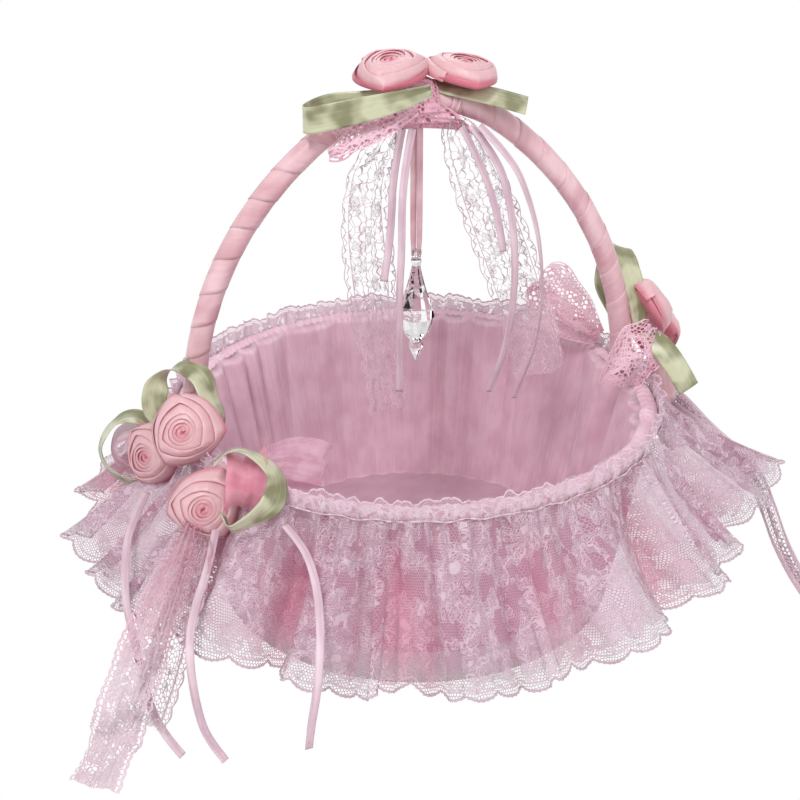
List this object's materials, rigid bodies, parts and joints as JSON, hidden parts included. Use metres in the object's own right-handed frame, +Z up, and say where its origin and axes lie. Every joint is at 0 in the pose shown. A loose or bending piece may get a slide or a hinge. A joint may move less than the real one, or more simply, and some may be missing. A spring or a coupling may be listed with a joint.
{
  "type": "flower girl basket",
  "caption": "Round satin-lined flower basket with a flared lace skirt, a ribbon-wrapped arch handle, ribbon-rose trims with streamers, and a hanging faceted drop.",
  "frame": {"origin": "centre of the underside of the base, which rests on the table", "axes": "+Z up; the arch handle stands in the XZ plane; -Y is the front"},
  "size_m": [0.337, 0.296, 0.232],
  "materials": {
    "board": "matt pressed board",
    "cane": "woven split cane",
    "wire": "drawn steel wire",
    "foam": "soft open-cell foam",
    "satin": "pink satin with a soft sheen",
    "wrap_satin": "satin ribbon wound in a spiral",
    "lace": "sheer machine lace with a corded scalloped edge",
    "tulle": "fine sheer tulle",
    "rose_satin": "salmon pink satin ribbon, coiled",
    "green_satin": "sage green satin ribbon",
    "narrow_satin": "narrow woven satin ribbon",
    "thread": "twisted sewing cord",
    "crystal": "clear faceted and polished"
  },
  "bodies": {
    "basket": {"base_board": "board", "bowl_wall": "cane", "outer_cover": "satin", "rim_hoop": "cane", "floor_foam": "foam", "floor_satin": "satin", "lining_wall": "satin", "handle_core": "wire", "handle_padding": "foam", "handle_wrap": "wrap_satin", "lace_skirt": "lace", "lace_heading": "lace", "gathering_cord": "thread", "left_tie": "thread", "left_rose_upper": "rose_satin", "left_rose_outer": "rose_satin", "left_rose_lower": "rose_satin", "left_green_loop_top": "green_satin", "left_green_loop_outer": "green_satin", "left_green_loop_inner": "green_satin", "left_lace_bow": "lace", "left_tulle_loop": "tulle", "left_lace_tail": "lace", "left_ribbon_outer": "narrow_satin", "left_ribbon_middle": "narrow_satin", "left_ribbon_inner": "narrow_satin", "right_tie": "thread", "right_rose_upper": "rose_satin", "right_rose_outer": "rose_satin", "right_rose_lower": "rose_satin", "right_green_loop_upper": "green_satin", "right_green_loop_lower": "green_satin", "right_tulle_loop": "tulle", "right_rim_lace": "lace", "right_lace_tail": "lace", "top_tie": "thread", "top_rose_left": "rose_satin", "top_rose_right": "rose_satin", "top_lace_knot": "lace", "top_green_loop_left": "green_satin", "top_green_loop_right": "green_satin", "top_lace_loop": "lace"},
    "left_streamers": {"top_lace_tail_left": "lace", "top_ribbon_far_left": "narrow_satin", "top_ribbon_left": "narrow_satin"},
    "right_streamers": {"top_lace_tail_right": "lace", "top_ribbon_inner": "narrow_satin", "top_ribbon_middle": "narrow_satin", "top_ribbon_outer": "narrow_satin"},
    "pendant_ribbon": {"crystal_ribbon": "narrow_satin"},
    "crystal": {"crystal_drop": "crystal"}
  },
  "joints": [
    {"name": "left_streamers_swing", "type": "hinge", "parent": "basket", "child": "left_streamers", "pos_m": [-0.014, -0.009, 0.205], "axis": [1, 0, 0], "range_deg": [-20, 20]},
    {"name": "right_streamers_swing", "type": "hinge", "parent": "basket", "child": "right_streamers", "pos_m": [0.022, -0.009, 0.205], "axis": [1, 0, 0], "range_deg": [-20, 14]},
    {"name": "pendant_swing", "type": "hinge", "parent": "basket", "child": "pendant_ribbon", "pos_m": [0, 0, 0.2015], "axis": [1, 0, 0], "range_deg": [-35, 35]},
    {"name": "crystal_tilt", "type": "hinge", "parent": "pendant_ribbon", "child": "crystal", "pos_m": [0, 0, 0.1476], "axis": [1, 0, 0], "range_deg": [-50, 50]}
  ]
}
